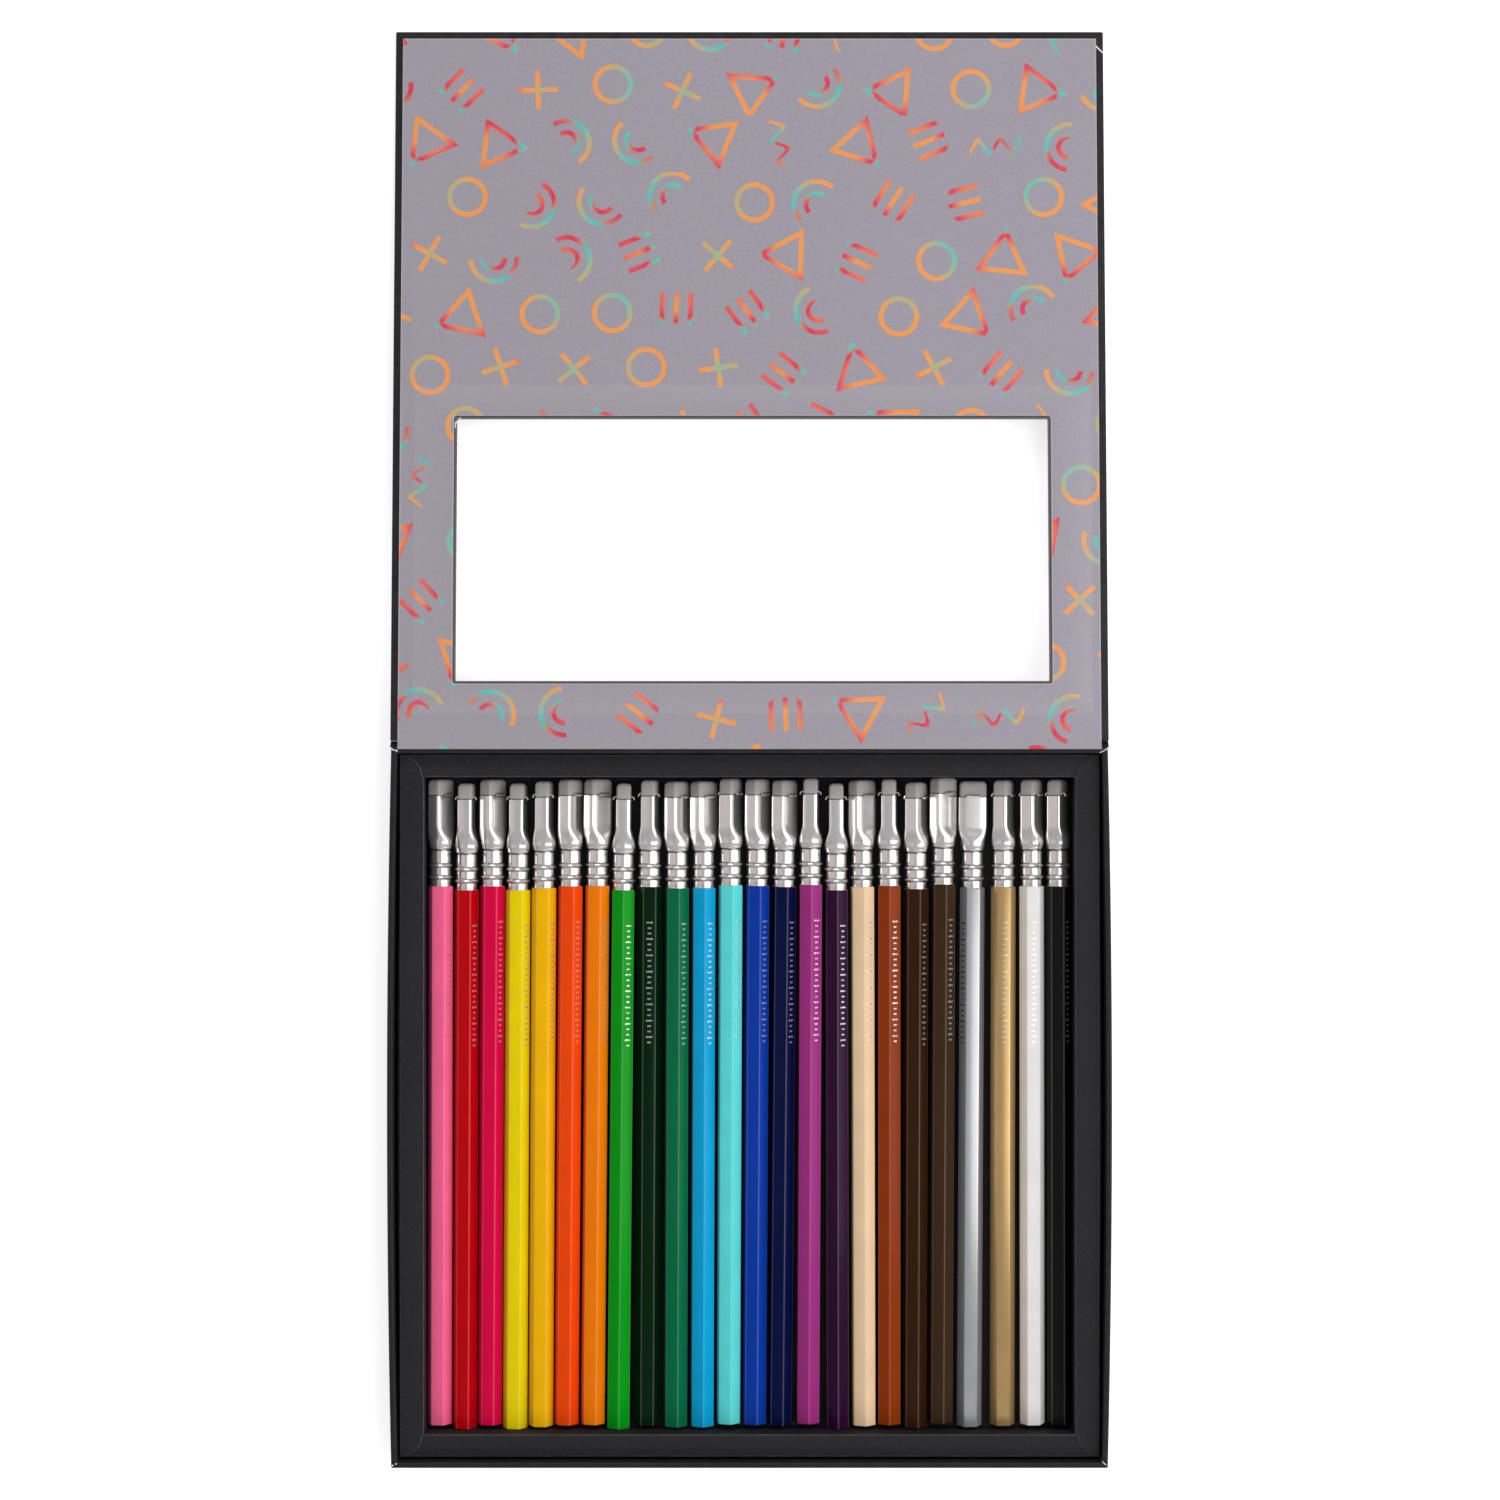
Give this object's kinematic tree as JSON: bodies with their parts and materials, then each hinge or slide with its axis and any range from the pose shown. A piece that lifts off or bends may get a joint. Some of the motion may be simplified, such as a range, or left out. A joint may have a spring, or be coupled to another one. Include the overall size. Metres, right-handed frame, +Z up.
{
  "type": "coloured pencil box",
  "caption": "Shallow paper-covered box with a flat hinged lid that has a film window, holding a row of hexagonal coloured pencils with ferrules and block erasers in a folded card insert.",
  "frame": {"origin": "middle of the tray's underside", "axes": "+Z up, +Y from the tray towards the hinge and the opened lid, +X to the right"},
  "size_m": [0.2244, 0.4482, 0.0192],
  "materials": {
    "greyboard": "matt greyboard",
    "stay_tape": "kraft tape",
    "black_paper": "matt, fine tooth",
    "black_card": "matt",
    "clear_film": "clear",
    "liner_print": "coated, grey-lilac",
    "eraser": "matt grey",
    "lacquer_pink": "gloss lacquer",
    "lacquer_red": "gloss lacquer",
    "lacquer_crimson": "gloss lacquer",
    "lacquer_yellow": "gloss lacquer",
    "lacquer_golden_yellow": "gloss lacquer",
    "lacquer_vermilion": "gloss lacquer",
    "lacquer_orange": "gloss lacquer",
    "lacquer_bright_green": "gloss lacquer",
    "lacquer_dark_green": "gloss lacquer",
    "lacquer_emerald": "gloss lacquer",
    "lacquer_sky_blue": "gloss lacquer",
    "lacquer_aqua": "gloss lacquer",
    "lacquer_royal_blue": "gloss lacquer",
    "lacquer_navy": "gloss lacquer",
    "lacquer_magenta": "gloss lacquer",
    "lacquer_dark_purple": "gloss lacquer",
    "lacquer_peach": "gloss lacquer",
    "lacquer_sienna": "gloss lacquer",
    "lacquer_dark_brown": "gloss lacquer",
    "lacquer_olive_brown": "gloss lacquer",
    "lacquer_silver_grey": "gloss lacquer",
    "lacquer_gold": "gloss lacquer",
    "lacquer_white": "gloss lacquer",
    "lacquer_black": "gloss lacquer"
  },
  "bodies": {
    "tray": {"tray_board": "greyboard", "corner_stays": "stay_tape", "tray_wrap": "black_paper", "base_sheet": "black_paper", "insert_card": "black_card", "liner_flap": "liner_print", "hinge_strip": "black_paper"},
    "lid": {"lid_board": "greyboard", "lid_wrap": "black_paper", "window_film": "clear_film", "lid_liner": "liner_print"},
    "pencil_01": {"pencil_01_pink": "lacquer_pink", "eraser_01": "eraser"},
    "pencil_02": {"pencil_02_red": "lacquer_red", "eraser_02": "eraser"},
    "pencil_03": {"pencil_03_crimson": "lacquer_crimson", "eraser_03": "eraser"},
    "pencil_04": {"pencil_04_yellow": "lacquer_yellow", "eraser_04": "eraser"},
    "pencil_05": {"pencil_05_golden_yellow": "lacquer_golden_yellow", "eraser_05": "eraser"},
    "pencil_06": {"pencil_06_vermilion": "lacquer_vermilion", "eraser_06": "eraser"},
    "pencil_07": {"pencil_07_orange": "lacquer_orange", "eraser_07": "eraser"},
    "pencil_08": {"pencil_08_bright_green": "lacquer_bright_green", "eraser_08": "eraser"},
    "pencil_09": {"pencil_09_dark_green": "lacquer_dark_green", "eraser_09": "eraser"},
    "pencil_10": {"pencil_10_emerald": "lacquer_emerald", "eraser_10": "eraser"},
    "pencil_11": {"pencil_11_sky_blue": "lacquer_sky_blue", "eraser_11": "eraser"},
    "pencil_12": {"pencil_12_aqua": "lacquer_aqua", "eraser_12": "eraser"},
    "pencil_13": {"pencil_13_royal_blue": "lacquer_royal_blue", "eraser_13": "eraser"},
    "pencil_14": {"pencil_14_navy": "lacquer_navy", "eraser_14": "eraser"},
    "pencil_15": {"pencil_15_magenta": "lacquer_magenta", "eraser_15": "eraser"},
    "pencil_16": {"pencil_16_dark_purple": "lacquer_dark_purple", "eraser_16": "eraser"},
    "pencil_17": {"pencil_17_peach": "lacquer_peach", "eraser_17": "eraser"},
    "pencil_18": {"pencil_18_sienna": "lacquer_sienna", "eraser_18": "eraser"},
    "pencil_19": {"pencil_19_dark_brown": "lacquer_dark_brown", "eraser_19": "eraser"},
    "pencil_20": {"pencil_20_olive_brown": "lacquer_olive_brown", "eraser_20": "eraser"},
    "pencil_21": {"pencil_21_silver_grey": "lacquer_silver_grey", "eraser_21": "eraser"},
    "pencil_22": {"pencil_22_gold": "lacquer_gold", "eraser_22": "eraser"},
    "pencil_23": {"pencil_23_white": "lacquer_white", "eraser_23": "eraser"},
    "pencil_24": {"pencil_24_black": "lacquer_black", "eraser_24": "eraser"}
  },
  "joints": [
    {"name": "lid_hinge", "type": "hinge", "parent": "tray", "child": "lid", "pos_m": [0, 0.11245, 0.019], "axis": [-1, 0, 0], "range_deg": [-184.23, 0], "deforming": ["liner_flap", "hinge_strip"]},
    {"name": "lift_01", "type": "slide", "parent": "tray", "child": "pencil_01", "axis": [0, 0, 1], "range_m": [0, 0.06]},
    {"name": "lift_02", "type": "slide", "parent": "tray", "child": "pencil_02", "axis": [0, 0, 1], "range_m": [0, 0.06]},
    {"name": "lift_03", "type": "slide", "parent": "tray", "child": "pencil_03", "axis": [0, 0, 1], "range_m": [0, 0.06]},
    {"name": "lift_04", "type": "slide", "parent": "tray", "child": "pencil_04", "axis": [0, 0, 1], "range_m": [0, 0.06]},
    {"name": "lift_05", "type": "slide", "parent": "tray", "child": "pencil_05", "axis": [0, 0, 1], "range_m": [0, 0.06]},
    {"name": "lift_06", "type": "slide", "parent": "tray", "child": "pencil_06", "axis": [0, 0, 1], "range_m": [0, 0.06]},
    {"name": "lift_07", "type": "slide", "parent": "tray", "child": "pencil_07", "axis": [0, 0, 1], "range_m": [0, 0.06]},
    {"name": "lift_08", "type": "slide", "parent": "tray", "child": "pencil_08", "axis": [0, 0, 1], "range_m": [0, 0.06]},
    {"name": "lift_09", "type": "slide", "parent": "tray", "child": "pencil_09", "axis": [0, 0, 1], "range_m": [0, 0.06]},
    {"name": "lift_10", "type": "slide", "parent": "tray", "child": "pencil_10", "axis": [0, 0, 1], "range_m": [0, 0.06]},
    {"name": "lift_11", "type": "slide", "parent": "tray", "child": "pencil_11", "axis": [0, 0, 1], "range_m": [0, 0.06]},
    {"name": "lift_12", "type": "slide", "parent": "tray", "child": "pencil_12", "axis": [0, 0, 1], "range_m": [0, 0.06]},
    {"name": "lift_13", "type": "slide", "parent": "tray", "child": "pencil_13", "axis": [0, 0, 1], "range_m": [0, 0.06]},
    {"name": "lift_14", "type": "slide", "parent": "tray", "child": "pencil_14", "axis": [0, 0, 1], "range_m": [0, 0.06]},
    {"name": "lift_15", "type": "slide", "parent": "tray", "child": "pencil_15", "axis": [0, 0, 1], "range_m": [0, 0.06]},
    {"name": "lift_16", "type": "slide", "parent": "tray", "child": "pencil_16", "axis": [0, 0, 1], "range_m": [0, 0.06]},
    {"name": "lift_17", "type": "slide", "parent": "tray", "child": "pencil_17", "axis": [0, 0, 1], "range_m": [0, 0.06]},
    {"name": "lift_18", "type": "slide", "parent": "tray", "child": "pencil_18", "axis": [0, 0, 1], "range_m": [0, 0.06]},
    {"name": "lift_19", "type": "slide", "parent": "tray", "child": "pencil_19", "axis": [0, 0, 1], "range_m": [0, 0.06]},
    {"name": "lift_20", "type": "slide", "parent": "tray", "child": "pencil_20", "axis": [0, 0, 1], "range_m": [0, 0.06]},
    {"name": "lift_21", "type": "slide", "parent": "tray", "child": "pencil_21", "axis": [0, 0, 1], "range_m": [0, 0.06]},
    {"name": "lift_22", "type": "slide", "parent": "tray", "child": "pencil_22", "axis": [0, 0, 1], "range_m": [0, 0.06]},
    {"name": "lift_23", "type": "slide", "parent": "tray", "child": "pencil_23", "axis": [0, 0, 1], "range_m": [0, 0.06]},
    {"name": "lift_24", "type": "slide", "parent": "tray", "child": "pencil_24", "axis": [0, 0, 1], "range_m": [0, 0.06]}
  ]
}
